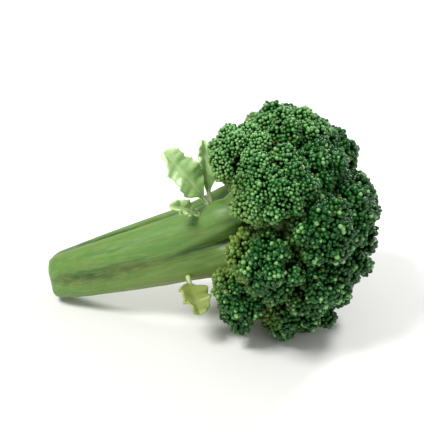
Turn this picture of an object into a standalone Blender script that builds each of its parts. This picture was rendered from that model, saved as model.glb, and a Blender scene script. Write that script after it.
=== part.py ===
"""A broccoli floret lying on its side, as cut from a head and steamed.

A ridged stalk parts into limbs, the limbs part into branches, and each branch carries one cluster of
flower buds. The clusters lie side by side in a dome, the crown. A tuft of small leaflets stands on
the stalk just under the crown. Everything is modelled as it grows, with the cut end at the origin and
the crown on +Z, and the empty "floret" then lays it down on the ground at the pose in which it rests:
+X runs from the cut end to the crown, and +Z is up. Units are metres.
"""

import math
import random
from dataclasses import dataclass, replace

import bmesh
import bpy
from mathutils import Matrix, Quaternion, Vector

MM = 0.001

# Overall sizes, along and across the direction of growth.
STALK_LENGTH = 37.0 * MM  # cut end to the underside of the crown
CROWN_DEPTH = 31.5 * MM  # underside to the top of the dome
CROWN_WIDTH = 47.5 * MM
DOME_SHARE = 0.69  # how much of the crown's depth is above its widest place

# The stalk is a bundle of limbs that are grown together below the neck.
LIMB_COUNT = 4
FIRST_LIMB_DIRECTION = math.radians(-52.0)
LIMB_END_RADIUS = 2.6 * MM
LIMB_END_OFFSET = 1.6 * MM  # limb's middle to the middle of the stalk, at the cut end
LIMB_NECK_RADIUS = 4.5 * MM
LIMB_NECK_OFFSET = 3.0 * MM
LIMB_SPLIT_RADIUS = 3.9 * MM
LIMB_SPLIT_OFFSET = 5.6 * MM
NECK_BELOW_CROWN = 10.0 * MM  # where the limbs begin to spread
SPLIT_ABOVE_UNDERSIDE = 1.5 * MM  # where a limb parts into branches, inside the crown
TAPER = 0.65  # below 1, the stalk thins most near its cut end
STALK_BEND = 3.0 * MM  # how far the cut end is out of line with the crown
LIMB_POINTS = 9
CUT_TILT = math.radians(9.0)
CUT_ALLOWANCE = 3.0 * MM  # limbs run this far past the cut before it is made

# The core runs on between the limbs, up the middle of the crown.
CORE_RADIUS = 3.4 * MM
CORE_ABOVE_UNDERSIDE = 7.0 * MM

# A branch runs straight from its limb to its cluster.
BRANCH_RADIUS = 2.1 * MM
BRANCH_ROOT_RADIUS = 2.5 * MM
BRANCH_OVERLAP = 1.5 * MM  # how deep a branch starts inside its limb

# Clusters of buds, placed on the dome at the golden angle.
CLUSTER_COUNT = 17
CLUSTER_REACH = 11.0 * MM  # centre to the outermost buds
CLUSTER_MIDDLE = 1.5 * MM  # the least room round a cluster's centre
CLUSTER_SEAT = 5.0 * MM  # centre to the flat seat where the branch arrives
CLUSTER_CURVE = 13.0  # how square the clusters' shoulders are: 2 is round, 20 is boxy
DOME_RIM_ANGLE = math.radians(98.0)  # from the top of the dome to the lowest clusters
FIRST_CLUSTER_DIRECTION = math.radians(-70.0)
GOLDEN_ANGLE = math.pi * (3.0 - math.sqrt(5.0))
PLACE_SPREAD = 1.1 * MM  # how far a cluster stands off its regular place
SIZE_SPREAD = 0.1
SEED = 7

# Each cluster is knobbly: its buds stand in lobes with shallow furrows between them.
LOBE_COUNT = 13
LOBE_FURROW = 0.09  # depth, as a share of the distance to the cluster's centre
LOBE_ROUNDING = 0.42  # how far a furrow's slopes reach into the lobes

# One more cluster hangs below the rim, on the side that faces down and to the front.
LOW_CLUSTER_DIRECTION = math.radians(-52.0)
LOW_CLUSTER_OFFSET = 11.8 * MM
LOW_CLUSTER_ABOVE_UNDERSIDE = -1.2 * MM
LOW_CLUSTER_REACH = 9.2 * MM
LOW_CLUSTER_SEAT = 4.0 * MM

LEAFLET_THICKNESS = 0.7 * MM
LEAFLET_CUP = 0.7 * MM  # how far the blade's edges stand above its middle

GAP = 0.35 * MM  # left between pieces, so that no two solids touch
WELD = 0.001 * MM

UP = Vector((0.0, 0.0, 1.0))
DOWN_WHEN_LYING = Vector((1.0, 0.0, -0.3))  # the side of the growing floret that goes to the ground
DOWN_WITHIN = math.radians(20.0)  # how far from it a resting side may be


@dataclass
class Rod:
    """A straight stretch of stem. Its radius is the larger of its two ends'."""

    start: Vector
    end: Vector
    radius: float

    def nearest(self, point):
        """The point of the rod's middle line that is nearest to a point."""
        along = self.end - self.start
        share = (point - self.start).dot(along) / along.length_squared
        return self.start + along * min(1.0, max(0.0, share))


@dataclass
class Cluster:
    """A cluster of buds: its centre, its size, and the point on a limb where its branch begins."""

    name: str
    centre: Vector
    reach: float
    seat: float
    root: Vector
    in_dome: bool

    @property
    def axis(self):
        """The direction in which the cluster's branch grows."""
        return (self.centre - self.root).normalized()

    @property
    def branch(self):
        """The branch, from its root in the limb to just under the cluster's seat."""
        start = self.root - self.axis * BRANCH_OVERLAP
        end = self.centre - self.axis * (self.seat + GAP)
        return Rod(start, end, BRANCH_ROOT_RADIUS)


@dataclass(frozen=True)
class Leaflet:
    """A small leaf that stands on a limb."""

    name: str
    limb: int
    below_crown: float  # height at which it stands
    direction: float  # around the limb
    lean: float  # between the leaflet and the direction of growth
    twist: float  # around its own midrib
    length: float
    width: float

    @property
    def rod(self):
        """The midrib, from just off the limb to the tip, as thick as the leaflet is wide."""
        middle, radius = limb_at(limb_directions()[self.limb], STALK_LENGTH - self.below_crown)
        foot = middle + around(self.direction, radius + LEAFLET_THICKNESS / 2 + GAP, 0.0)
        tip = around(self.direction, math.sin(self.lean), math.cos(self.lean)) * self.length
        return Rod(foot, foot + tip, self.width / 2 + LEAFLET_CUP)


LEAFLETS = (
    Leaflet(
        name="leaflet_1",
        limb=1,
        below_crown=1.0 * MM,
        direction=math.radians(-178.0),
        lean=math.radians(106.0),
        twist=math.radians(-30.0),
        length=12.5 * MM,
        width=8.0 * MM,
    ),
    Leaflet(
        name="leaflet_2",
        limb=1,
        below_crown=3.0 * MM,
        direction=math.radians(-150.0),
        lean=math.radians(122.0),
        twist=math.radians(-15.0),
        length=5.6 * MM,
        width=3.2 * MM,
    ),
    Leaflet(
        name="leaflet_3",
        limb=1,
        below_crown=0.8 * MM,
        direction=math.radians(158.0),
        lean=math.radians(78.0),
        twist=math.radians(-50.0),
        length=11.0 * MM,
        width=3.8 * MM,
    ),
    Leaflet(
        name="leaflet_4",
        limb=0,
        below_crown=9.0 * MM,
        direction=math.radians(-64.0),
        lean=math.radians(76.0),
        twist=math.radians(50.0),
        length=8.2 * MM,
        width=6.6 * MM,
    ),
)


def clear_scene():
    """Removes whatever the file already holds."""
    for obj in list(bpy.data.objects):
        bpy.data.objects.remove(obj)


def make_collection(name):
    """A new collection in the scene."""
    collection = bpy.data.collections.new(name)
    bpy.context.scene.collection.children.link(collection)
    return collection


def make_material(name, colour, roughness):
    """A plain surface of one colour, given as linear red, green and blue."""
    material = bpy.data.materials.new(name)
    material.use_nodes = True
    shader = material.node_tree.nodes["Principled BSDF"]
    shader.inputs["Base Color"].default_value = (*colour, 1.0)
    shader.inputs["Roughness"].default_value = roughness
    shader.inputs["Metallic"].default_value = 0.0
    return material


def around(direction, offset, height):
    """The point at this direction around the stalk, this far from its middle, at this height."""
    return Vector((offset * math.cos(direction), offset * math.sin(direction), height))


def bend_at(height):
    """How far the middle of the stalk stands to one side at a height, because the stalk is bent."""
    neck = STALK_LENGTH - NECK_BELOW_CROWN
    below = max(0.0, 1.0 - height / neck)
    return Vector((0.0, STALK_BEND * below * below, 0.0))


# ---- Where everything grows -------------------------------------------------------------------


def crown_centre():
    """The middle of the dome, which is as high above the underside as its width allows."""
    return UP * (STALK_LENGTH + CROWN_DEPTH - dome_height())


def dome_height():
    """The dome's centre to its top."""
    return CROWN_DEPTH * DOME_SHARE


def limb_directions():
    """The directions around the stalk in which the limbs grow."""
    step = math.tau / LIMB_COUNT
    return [FIRST_LIMB_DIRECTION - step * index for index in range(LIMB_COUNT)]


def limb_at(direction, height):
    """The middle and the radius of a limb at one height."""
    neck = STALK_LENGTH - NECK_BELOW_CROWN
    if height < neck:
        share = max(0.0, height / neck) ** TAPER
        offset = LIMB_END_OFFSET + (LIMB_NECK_OFFSET - LIMB_END_OFFSET) * share
        radius = LIMB_END_RADIUS + (LIMB_NECK_RADIUS - LIMB_END_RADIUS) * share
    else:
        share = (height - neck) / (NECK_BELOW_CROWN + SPLIT_ABOVE_UNDERSIDE)
        offset = LIMB_NECK_OFFSET + (LIMB_SPLIT_OFFSET - LIMB_NECK_OFFSET) * share**1.4
        radius = LIMB_NECK_RADIUS + (LIMB_SPLIT_RADIUS - LIMB_NECK_RADIUS) * share
    return around(direction, offset, height) + bend_at(height), radius


def limb_line(direction):
    """The points along a limb's middle, from below the cut end to where it splits, and its radii."""
    step = (STALK_LENGTH + SPLIT_ABOVE_UNDERSIDE + CUT_ALLOWANCE) / (LIMB_POINTS - 1)
    places = [limb_at(direction, step * index - CUT_ALLOWANCE) for index in range(LIMB_POINTS)]
    return [middle for middle, _ in places], [radius for _, radius in places]


def core_line():
    """The points along the core's middle, from the neck to its top, and its radii."""
    start = STALK_LENGTH - NECK_BELOW_CROWN
    step = (STALK_LENGTH + CORE_ABOVE_UNDERSIDE - start) / (LIMB_POINTS - 1)
    points = [UP * (start + step * index) for index in range(LIMB_POINTS)]
    return points, [CORE_RADIUS] * LIMB_POINTS


def rounded_off(points, radii):
    """A limb's line with a rounded tip added to its upper end."""
    onward = (points[-1] - points[-2]).normalized()
    for share in (0.5, 0.85):
        points = [*points, points[LIMB_POINTS - 1] + onward * radii[LIMB_POINTS - 1] * share]
        radii = [*radii, radii[LIMB_POINTS - 1] * math.sqrt(1.0 - share * share)]
    return points, radii


def nearest_limb_split(point, splits):
    """The limb split that a branch to this point grows from."""
    return min(splits, key=lambda split: (split - point).length)


def dome_clusters(splits):
    """The clusters of the dome, from its top down, turned by the golden angle from one to the next."""
    draw = random.Random(SEED)
    across = CROWN_WIDTH / 2 - CLUSTER_REACH
    up = dome_height() - CLUSTER_REACH
    clusters = []
    for index in range(CLUSTER_COUNT):
        level = 1.0 - (index + 0.5) / CLUSTER_COUNT * (1.0 - math.cos(DOME_RIM_ANGLE))
        direction = FIRST_CLUSTER_DIRECTION + index * GOLDEN_ANGLE
        place = around(direction, across * math.sqrt(1.0 - level * level), up * level)
        stray = Vector([draw.uniform(-PLACE_SPREAD, PLACE_SPREAD) for _ in range(3)])
        centre = crown_centre() + place + stray
        size = 1.0 + draw.uniform(-SIZE_SPREAD, SIZE_SPREAD)
        clusters.append(
            Cluster(
                name=f"bud_cluster_{index + 1:02d}",
                centre=centre,
                reach=CLUSTER_REACH * size,
                seat=CLUSTER_SEAT * size,
                root=nearest_limb_split(centre, splits),
                in_dome=True,
            )
        )
    return clusters


def low_cluster(splits):
    """The cluster that hangs below the rim."""
    height = STALK_LENGTH + LOW_CLUSTER_ABOVE_UNDERSIDE
    centre = around(LOW_CLUSTER_DIRECTION, LOW_CLUSTER_OFFSET, height)
    root = nearest_limb_split(centre, splits) - UP * NECK_BELOW_CROWN / 2
    return Cluster("bud_cluster_low", centre, LOW_CLUSTER_REACH, LOW_CLUSTER_SEAT, root, False)


# ---- Bud clusters -----------------------------------------------------------------------------


def other_branches(cluster, clusters):
    """The branches of all the clusters but this one."""
    return [other.branch for other in clusters if other is not cluster]


def kept_clear(cluster, rods):
    """The same cluster, moved off any rod that would run through its middle."""
    centre = cluster.centre
    for rod in rods:
        away = centre - rod.nearest(centre)
        least = rod.radius + GAP + CLUSTER_MIDDLE
        if away.length < least:
            centre = centre + away.normalized() * (least - away.length)
    return replace(cluster, centre=centre)


def walls_around(cluster, clusters, rods):
    """The flat walls that keep a cluster clear of its neighbours and of the stems.

    Each is (outward direction, distance from the cluster's centre). A straight rod lies wholly behind
    the wall that stands square to the shortest line from the centre to the rod.
    """
    walls = []
    for other in clusters:
        if other is cluster:
            continue
        between = other.centre - cluster.centre
        share = cluster.reach / (cluster.reach + other.reach)
        walls.append((between.normalized(), between.length * share - GAP / 2))
    for rod in rods:
        away = rod.nearest(cluster.centre) - cluster.centre
        walls.append((away.normalized(), away.length - rod.radius - GAP))
    return walls


def distance_to_dome(start, direction):
    """How far it is from a point inside the dome to its surface, which is an ellipsoid."""
    across, up = CROWN_WIDTH / 2, dome_height()
    squeeze = Matrix.Diagonal((1.0 / across, 1.0 / across, 1.0 / up))
    p = squeeze @ (start - crown_centre())
    d = squeeze @ direction
    a, b, c = d.dot(d), p.dot(d), min(0.0, p.dot(p) - 1.0)
    return (-b + math.sqrt(b * b - a * c)) / a


def cluster_reach_towards(direction, cluster, walls):
    """The distance from a cluster's centre to its surface in one direction.

    The nearest limits are blended, so that the cluster has round shoulders. The blend is always
    shorter than each of its limits, and only the seat is left sharp.
    """
    limits = [cluster.reach]
    for outward, distance in walls:
        facing = direction.dot(outward)
        if facing > 0.01:
            limits.append(distance / facing)
    if cluster.in_dome:
        limits.append(max(distance_to_dome(cluster.centre, direction), cluster.seat))
    blended = sum(limit**-CLUSTER_CURVE for limit in limits) ** (-1.0 / CLUSTER_CURVE)
    facing = -direction.dot(cluster.axis)
    return min(blended, cluster.seat / facing) if facing > 0.01 else blended


def lobe_directions(turn):
    """The middles of a cluster's lobes, spread evenly over a ball."""
    lobes = []
    for index in range(LOBE_COUNT):
        level = 1.0 - (2 * index + 1) / LOBE_COUNT
        lobes.append(around(index * GOLDEN_ANGLE, math.sqrt(1.0 - level * level), level))
    return [turn @ lobe for lobe in lobes]


def furrow_at(direction, lobes):
    """How deep the furrow between the two nearest lobes is in one direction."""
    second, first = sorted(direction.dot(lobe) for lobe in lobes)[-2:]
    share = min(1.0, (first - second) / LOBE_ROUNDING)
    return LOBE_FURROW * (1.0 - share * share * (3.0 - 2.0 * share))


def make_cluster(cluster, walls, floret, collection, material):
    """One bud cluster: a ball whose points are moved out to the limits around it."""
    bpy.ops.mesh.primitive_ico_sphere_add(subdivisions=3, radius=1.0)
    obj = bpy.context.object
    obj.name = cluster.name
    lobes = lobe_directions(UP.rotation_difference(cluster.axis).to_matrix())
    for vertex in obj.data.vertices:
        direction = vertex.co.normalized()
        reach = cluster_reach_towards(direction, cluster, walls)
        vertex.co = direction * reach * (1.0 - furrow_at(direction, lobes))
    obj.location = cluster.centre
    smooth = obj.modifiers.new("soft_corners", "SMOOTH")
    smooth.factor = 0.5
    smooth.iterations = 2
    dress(obj, floret, collection, material)
    return obj


# ---- Stalk ------------------------------------------------------------------------------------


def make_stem(name, points, radii, collection):
    """A tapered round stem along the points, as a closed mesh."""
    curve = bpy.data.curves.new(name, "CURVE")
    curve.dimensions = "3D"
    curve.bevel_depth = MM
    curve.bevel_resolution = 3
    curve.use_fill_caps = True
    spline = curve.splines.new("POLY")
    spline.points.add(len(points) - 1)
    for place, point, radius in zip(spline.points, points, radii, strict=True):
        place.co = (*point, 1.0)
        place.radius = radius / MM
    guide = bpy.data.objects.new(name + "_line", curve)
    collection.objects.link(guide)
    bpy.context.view_layer.update()
    evaluated = guide.evaluated_get(bpy.context.evaluated_depsgraph_get())
    mesh = bpy.data.meshes.new_from_object(evaluated)
    bpy.data.objects.remove(guide)
    weld(mesh)
    stem = bpy.data.objects.new(name, mesh)
    collection.objects.link(stem)
    return stem


def weld(mesh):
    """Joins a tube's end caps to its sides and turns every face outwards."""
    work = bmesh.new()
    work.from_mesh(mesh)
    bmesh.ops.remove_doubles(work, verts=work.verts, dist=WELD)
    bmesh.ops.recalc_face_normals(work, faces=work.faces)
    work.to_mesh(mesh)
    work.free()


def combine(obj, tool, operation):
    """Adds a Boolean modifier and hides its tool."""
    modifier = obj.modifiers.new(f"{operation.lower()}_{tool.name}", "BOOLEAN")
    modifier.operation = operation
    modifier.solver = "EXACT"
    modifier.object = tool
    tool.hide_render = True
    tool.display_type = "WIRE"


def make_knife(collection):
    """The block that makes the stalk's slanting flat cut end."""
    size = 4 * (LIMB_END_RADIUS + LIMB_END_OFFSET) + 4 * CUT_ALLOWANCE
    bpy.ops.mesh.primitive_cube_add(size=size)
    knife = bpy.context.object
    knife.name = "knife_cut"
    turn = Matrix.Rotation(CUT_TILT, 4, "Y")
    knife.matrix_world = turn @ Matrix.Translation(-UP * size / 2)
    move_to(knife, collection)
    return knife


def make_stalk(lines, clusters, floret, parts, tools, material):
    """The stalk with its limbs, core and branches, grown as one piece and cut flat at its lower end."""
    stems = []
    for index, line in enumerate(lines):
        points, radii = rounded_off(*line)
        stems.append(make_stem(f"limb_{index + 1}", points, radii, tools))
    for cluster in clusters:
        points = (cluster.branch.start, cluster.branch.end)
        radii = (BRANCH_ROOT_RADIUS, BRANCH_RADIUS)
        stems.append(make_stem("branch_of_" + cluster.name, points, radii, tools))
    stalk = stems[0]
    stalk.name = "stalk"
    for stem in stems[1:]:
        combine(stalk, stem, "UNION")
        stem.parent = floret
    knife = make_knife(tools)
    knife.parent = floret
    combine(stalk, knife, "DIFFERENCE")
    dress(stalk, floret, parts, material)
    return stalk


# ---- Leaflets ---------------------------------------------------------------------------------


def make_leaflet(leaflet, floret, collection, material):
    """A small cupped leaf: a blade that is widest past its middle, given its thickness by Solidify."""
    bpy.ops.mesh.primitive_grid_add(x_subdivisions=6, y_subdivisions=4, size=2.0)
    blade = bpy.context.object
    blade.name = leaflet.name
    for vertex in blade.data.vertices:
        along = (vertex.co.x + 1.0) / 2
        aside = vertex.co.y
        half_width = leaflet.width / 2 * (0.25 + 0.75 * math.sin(math.pi * along**1.3 * 0.86))
        cup = LEAFLET_CUP * aside * aside * along
        vertex.co = (aside * half_width, cup, along * leaflet.length)
    solid = blade.modifiers.new("thickness", "SOLIDIFY")
    solid.thickness = LEAFLET_THICKNESS
    solid.offset = 0.0
    rod = leaflet.rod
    blade.location = rod.start
    blade.rotation_mode = "QUATERNION"
    aim = (rod.end - rod.start).to_track_quat("Z", "Y")
    blade.rotation_quaternion = aim @ Quaternion(UP, leaflet.twist)
    dress(blade, floret, collection, material)
    return blade


# ---- Putting it together ----------------------------------------------------------------------


def move_to(obj, collection):
    """Links an object to one collection only."""
    for old in list(obj.users_collection):
        old.objects.unlink(obj)
    collection.objects.link(obj)


def dress(obj, floret, collection, material):
    """Puts a finished piece in its collection, on the floret, with its material and smooth shading."""
    move_to(obj, collection)
    obj.parent = floret
    obj.data.materials.clear()
    obj.data.materials.append(material)
    obj.data.shade_smooth()


def surface_of(objects):
    """The corners and triangles of the objects' finished shapes, in the scene's coordinates."""
    bpy.context.view_layer.update()
    graph = bpy.context.evaluated_depsgraph_get()
    corners, triangles = [], []
    for obj in objects:
        evaluated = obj.evaluated_get(graph)
        mesh = evaluated.to_mesh()
        mesh.calc_loop_triangles()
        first = len(corners)
        corners += [evaluated.matrix_world @ vertex.co for vertex in mesh.vertices]
        triangles += [[first + corner for corner in face.vertices] for face in mesh.loop_triangles]
        evaluated.to_mesh_clear()
    return corners, triangles


def centre_of_mass(corners, triangles):
    """The balance point of solids with the same density throughout."""
    total, moment = 0.0, Vector((0.0, 0.0, 0.0))
    for a, b, c in ([corners[index] for index in triangle] for triangle in triangles):
        volume = a.dot(b.cross(c)) / 6
        total += volume
        moment += (a + b + c) * volume / 4
    return moment / total


def support_margin(ring, outward, balance):
    """How far inside a side's outline the balance point is; negative outside it."""
    margins = []
    for first, second in zip(ring, ring[1:] + ring[:1], strict=True):
        inward = outward.cross(second - first).normalized()
        margins.append((balance - first).dot(inward))
    return min(margins)


def resting_side(objects):
    """The outward direction of the side that the floret comes to rest on.

    It is the side of the convex hull that holds the balance point best, among those that face about
    the wanted way.
    """
    corners, triangles = surface_of(objects)
    balance = centre_of_mass(corners, triangles)
    hull = bmesh.new()
    for corner in corners:
        hull.verts.new(corner)
    bmesh.ops.convex_hull(hull, input=hull.verts)
    best, side = 0.0, None
    for face in hull.faces:
        ring = [vertex.co for vertex in face.verts]
        outward = face.normal if face.normal.dot(ring[0] - balance) > 0 else -face.normal
        if outward != face.normal:
            ring.reverse()
        margin = support_margin(ring, outward, balance)
        if margin > best and outward.angle(DOWN_WHEN_LYING) < DOWN_WITHIN:
            best, side = margin, outward.copy()
    hull.free()
    return side


def lay_down(floret, objects):
    """Turns the floret onto its resting side with the crown towards +X, and stands it on the origin."""
    side = resting_side(objects)
    level = side.rotation_difference(-UP).to_matrix()
    growth = level @ UP
    swing = Matrix.Rotation(-math.atan2(growth.y, growth.x), 3, "Z")
    floret.matrix_world = (swing @ level).to_4x4()
    corners, _ = surface_of(objects)
    low = Vector([min(corner[axis] for corner in corners) for axis in range(3)])
    high = Vector([max(corner[axis] for corner in corners) for axis in range(3)])
    floret.location = (-(low.x + high.x) / 2, -(low.y + high.y) / 2, -low.z)


def main():
    """Builds the floret."""
    clear_scene()
    parts = make_collection("broccoli_floret")
    tools = make_collection("helpers")
    floret = bpy.data.objects.new("floret", None)
    parts.objects.link(floret)
    stalk_green = make_material("stalk_green", (0.16, 0.29, 0.05), 0.4)
    bud_green = make_material("bud_green", (0.025, 0.1, 0.02), 0.5)
    leaf_green = make_material("leaf_green", (0.13, 0.32, 0.07), 0.45)

    lines = [limb_line(direction) for direction in limb_directions()] + [core_line()]
    splits = [points[-1] for points, _ in lines]
    midribs = [leaflet.rod for leaflet in LEAFLETS]
    limbs = []
    for points, radii in lines:
        stretches = zip(points, points[1:], radii, radii[1:], strict=False)
        limbs += [Rod(start, end, max(ends)) for start, end, *ends in stretches]
    clusters = [*dome_clusters(splits), low_cluster(splits)]
    clusters = [kept_clear(cluster, limbs + midribs) for cluster in clusters]
    clusters = [kept_clear(cluster, other_branches(cluster, clusters)) for cluster in clusters]

    objects = [make_stalk(lines, clusters, floret, parts, tools, stalk_green)]
    for cluster in clusters:
        rods = limbs + midribs + other_branches(cluster, clusters)
        walls = walls_around(cluster, clusters, rods)
        objects.append(make_cluster(cluster, walls, floret, parts, bud_green))
    objects += [make_leaflet(leaflet, floret, parts, leaf_green) for leaflet in LEAFLETS]
    lay_down(floret, objects)


main()
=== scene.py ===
"""Looks for a cooked broccoli floret that lies on its side.

The stalk is sculpted from its own solid, every cluster of the crown is grown again out of several
hundred single buds on fine stems, and the leaflets become thin ruffled blades. Units are metres.
"""

import logging
import math
from dataclasses import dataclass, field
from enum import Enum

import bmesh
import bpy
import numpy as np
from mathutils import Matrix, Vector, noise
from mathutils.bvhtree import BVHTree


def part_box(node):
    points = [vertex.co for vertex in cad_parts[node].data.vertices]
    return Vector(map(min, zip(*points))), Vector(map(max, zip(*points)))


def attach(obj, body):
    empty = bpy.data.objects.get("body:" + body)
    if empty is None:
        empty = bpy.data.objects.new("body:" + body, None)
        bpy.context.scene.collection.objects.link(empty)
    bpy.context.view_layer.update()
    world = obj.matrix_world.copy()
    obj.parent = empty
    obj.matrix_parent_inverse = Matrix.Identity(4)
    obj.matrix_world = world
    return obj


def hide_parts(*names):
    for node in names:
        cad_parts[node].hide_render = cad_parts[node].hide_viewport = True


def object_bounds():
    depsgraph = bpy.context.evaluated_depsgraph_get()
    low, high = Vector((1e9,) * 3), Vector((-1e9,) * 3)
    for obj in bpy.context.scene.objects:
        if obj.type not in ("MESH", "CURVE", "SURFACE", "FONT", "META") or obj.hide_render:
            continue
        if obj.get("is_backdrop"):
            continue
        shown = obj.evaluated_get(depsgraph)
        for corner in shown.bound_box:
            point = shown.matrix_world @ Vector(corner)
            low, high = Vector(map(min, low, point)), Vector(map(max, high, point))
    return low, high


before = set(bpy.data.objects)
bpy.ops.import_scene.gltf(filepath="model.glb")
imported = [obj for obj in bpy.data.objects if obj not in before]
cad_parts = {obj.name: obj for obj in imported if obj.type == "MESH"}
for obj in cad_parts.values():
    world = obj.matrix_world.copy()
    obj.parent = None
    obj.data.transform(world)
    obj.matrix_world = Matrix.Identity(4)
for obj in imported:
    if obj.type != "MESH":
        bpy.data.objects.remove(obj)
cad_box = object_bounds()

log = logging.getLogger("floret")

MM = 0.001
GOLDEN_ANGLE = math.pi * (3.0 - math.sqrt(5.0))
TONE = "tone"  # the colour attribute that carries each piece's own shading to its material
MIX_COLOURS = (6, 7)  # the colour inputs of a Mix node
MIX_RESULT = 2  # and its colour output
CLUSTER_SEED = 40
LEAF_SEED = 80
LEAF_WARMTH = {"leaflet_1": 0.0, "leaflet_2": 0.1, "leaflet_3": 0.0, "leaflet_4": 0.75}


class Slot(Enum):
    """The record's material slots."""

    STALK = "stalk"
    BUDS = "buds"
    LEAF = "leaf"


# ---- Small helpers ----------------------------------------------------------------------------


def linear(colour: str) -> tuple[float, float, float, float]:
    """Turns an sRGB hex colour to a linear one.

    Args:
        colour: six hex digits.

    Returns:
        Linear red, green, blue, and an alpha of 1.
    """
    shades = [int(colour[index : index + 2], 16) / 255 for index in (0, 2, 4)]
    red, green, blue = (
        shade / 12.92 if shade <= 0.04045 else ((shade + 0.055) / 1.055) ** 2.4 for shade in shades
    )
    return red, green, blue, 1.0


def add_node(
    tree: bpy.types.NodeTree,
    kind: str,
    settings: dict | None = None,
    links: dict | None = None,
) -> bpy.types.Node:
    """Adds a shader node.

    Args:
        tree: the material's nodes.
        kind: the node's type.
        settings: values of its properties or of its unlinked inputs.
        links: for an input, by name or place, the output that feeds it.

    Returns:
        The new node.
    """
    node = tree.nodes.new(kind)
    for name, value in (settings or {}).items():
        if isinstance(name, str) and hasattr(node, name):
            setattr(node, name, value)
        else:
            node.inputs[name].default_value = value
    for name, output in (links or {}).items():
        tree.links.new(output, node.inputs[name])
    return node


def add_ramp(
    tree: bpy.types.NodeTree, factor: bpy.types.NodeSocket, stops: tuple[tuple[float, str], ...]
) -> bpy.types.NodeSocket:
    """Adds a colour ramp.

    Args:
        tree: the material's nodes.
        factor: what drives it.
        stops: the place and the hex colour of each stop.

    Returns:
        The ramp's colour output.
    """
    node = add_node(tree, "ShaderNodeValToRGB", links={"Fac": factor})
    elements = node.color_ramp.elements
    while len(elements) < len(stops):
        elements.new(1.0)
    for element, (place, colour) in zip(elements, stops, strict=True):
        element.position = place
        element.color = linear(colour)
    return node.outputs["Color"]


def add_mix(
    tree: bpy.types.NodeTree,
    share: bpy.types.NodeSocket,
    first: bpy.types.NodeSocket | str,
    second: bpy.types.NodeSocket | str,
) -> bpy.types.NodeSocket:
    """Mixes two colours, each an output or six hex digits.

    Args:
        tree: the material's nodes.
        share: how much of the second colour there is.
        first: one colour.
        second: the other.

    Returns:
        The mixed colour.
    """
    settings, links = {"data_type": "RGBA"}, {0: share}
    for place, colour in zip(MIX_COLOURS, (first, second), strict=True):
        if isinstance(colour, str):
            settings[place] = linear(colour)
        else:
            links[place] = colour
    return add_node(tree, "ShaderNodeMix", settings, links).outputs[MIX_RESULT]


def add_noise(
    tree: bpy.types.NodeTree, place: bpy.types.NodeSocket, size: float, **settings: float
) -> bpy.types.NodeSocket:
    """Adds noise.

    Args:
        tree: the material's nodes.
        place: the coordinates that it follows.
        size: how large its patches are, in millimetres.
        settings: its other inputs.

    Returns:
        The noise, from 0 to 1.
    """
    settings["Scale"] = 1 / (size * MM)
    return add_node(tree, "ShaderNodeTexNoise", settings, {"Vector": place}).outputs["Fac"]


def add_range(
    tree: bpy.types.NodeTree, value: bpy.types.NodeSocket, low: float, high: float, most: float
) -> bpy.types.NodeSocket:
    """Turns values between a low and a high one to values from 0 to the most."""
    settings = {"From Min": low, "From Max": high, "To Min": 0.0, "To Max": most}
    return add_node(tree, "ShaderNodeMapRange", settings, {"Value": value}).outputs[0]


def add_sum(
    tree: bpy.types.NodeTree,
    value: bpy.types.NodeSocket,
    factor: float,
    rest: bpy.types.NodeSocket,
    clamped: bool = False,
) -> bpy.types.NodeSocket:
    """Adds a value, times a factor, to the rest."""
    settings = {"operation": "MULTIPLY_ADD", 1: factor, "use_clamp": clamped}
    return add_node(tree, "ShaderNodeMath", settings, {0: value, 2: rest}).outputs[0]


def new_material(name: str) -> tuple[bpy.types.Material, bpy.types.NodeTree, bpy.types.Node]:
    """Makes an empty material.

    Args:
        name: the finish, in plain words.

    Returns:
        The material, its nodes, and its main shader.
    """
    material = bpy.data.materials.new(name)
    material.use_nodes = True
    tree = material.node_tree
    return material, tree, tree.nodes["Principled BSDF"]


def read_tone(tree: bpy.types.NodeTree) -> list[bpy.types.NodeSocket]:
    """Reads a piece's tone.

    Args:
        tree: the material's nodes.

    Returns:
        Its four values.
    """
    tone = add_node(tree, "ShaderNodeAttribute", {"attribute_name": TONE})
    parts = add_node(tree, "ShaderNodeSeparateColor", links={0: tone.outputs["Color"]})
    return [*parts.outputs, tone.outputs["Alpha"]]


def add_bump(
    tree: bpy.types.NodeTree,
    shader: bpy.types.Node,
    height: bpy.types.NodeSocket,
    strength: float,
    depth: float,
) -> None:
    """Makes a shader's surface uneven.

    Args:
        tree: the material's nodes.
        shader: the shader.
        height: the unevenness, from 0 to 1.
        strength: how much of it shows.
        depth: the way from 0 to 1, in metres.
    """
    settings = {"Strength": strength, "Distance": depth}
    bump = add_node(tree, "ShaderNodeBump", settings, {"Height": height})
    tree.links.new(bump.outputs["Normal"], shader.inputs["Normal"])


def set_surface(shader: bpy.types.Node, values: dict[str, object]) -> None:
    """Sets a shader's own inputs."""
    for name, value in values.items():
        shader.inputs[name].default_value = value


def select_only(obj: bpy.types.Object) -> None:
    """Makes an object the only selected one, and the active one.

    Args:
        obj: the object.
    """
    bpy.ops.object.select_all(action="DESELECT")
    obj.select_set(True)
    bpy.context.view_layer.objects.active = obj


def apply_modifier(obj: bpy.types.Object, kind: str, **settings: object) -> None:
    """Adds a modifier to an object and applies it.

    Args:
        obj: the object.
        kind: the modifier's type.
        settings: values of its properties.
    """
    select_only(obj)
    modifier = obj.modifiers.new(kind.lower(), kind)
    for name, value in settings.items():
        setattr(modifier, name, value)
    bpy.ops.object.modifier_apply(modifier=modifier.name)


def node_points(name: str) -> np.ndarray:
    """Reads the corners of a CAD node.

    Args:
        name: the node.

    Returns:
        Its corners, one row each.
    """
    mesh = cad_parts[name].data
    points = np.empty(len(mesh.vertices) * 3)
    mesh.vertices.foreach_get("co", points)
    return points.reshape(-1, 3)


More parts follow.
